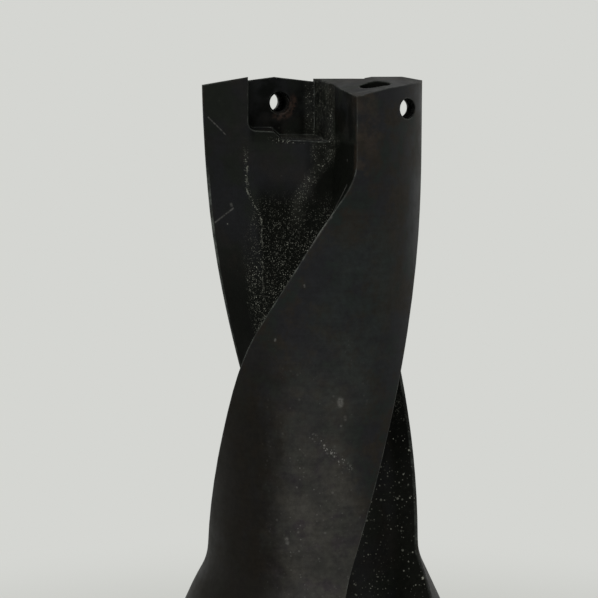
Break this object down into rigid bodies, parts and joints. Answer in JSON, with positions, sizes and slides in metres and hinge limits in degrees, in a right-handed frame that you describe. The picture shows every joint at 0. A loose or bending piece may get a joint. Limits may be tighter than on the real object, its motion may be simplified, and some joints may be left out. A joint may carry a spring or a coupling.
{
  "type": "indexable insert drill",
  "caption": "Fluted drill body for indexable inserts, with open insert seats at the tip, coolant channels, a flared flange and a cylindrical shank with a clamping flat.",
  "frame": {"origin": "centre of the shank's end face", "axes": "+Z along the drill's axis, from the shank to the tip; the inner insert's seat is on the -X wing and faces -Y, the outer one's is on the +X wing and faces +Y"},
  "size_m": [0.05, 0.05, 0.1631],
  "materials": {
    "blackened_steel": "worn black oxide on tool steel"
  },
  "bodies": {
    "root": {"drill_body": "blackened_steel"}
  },
  "joints": []
}
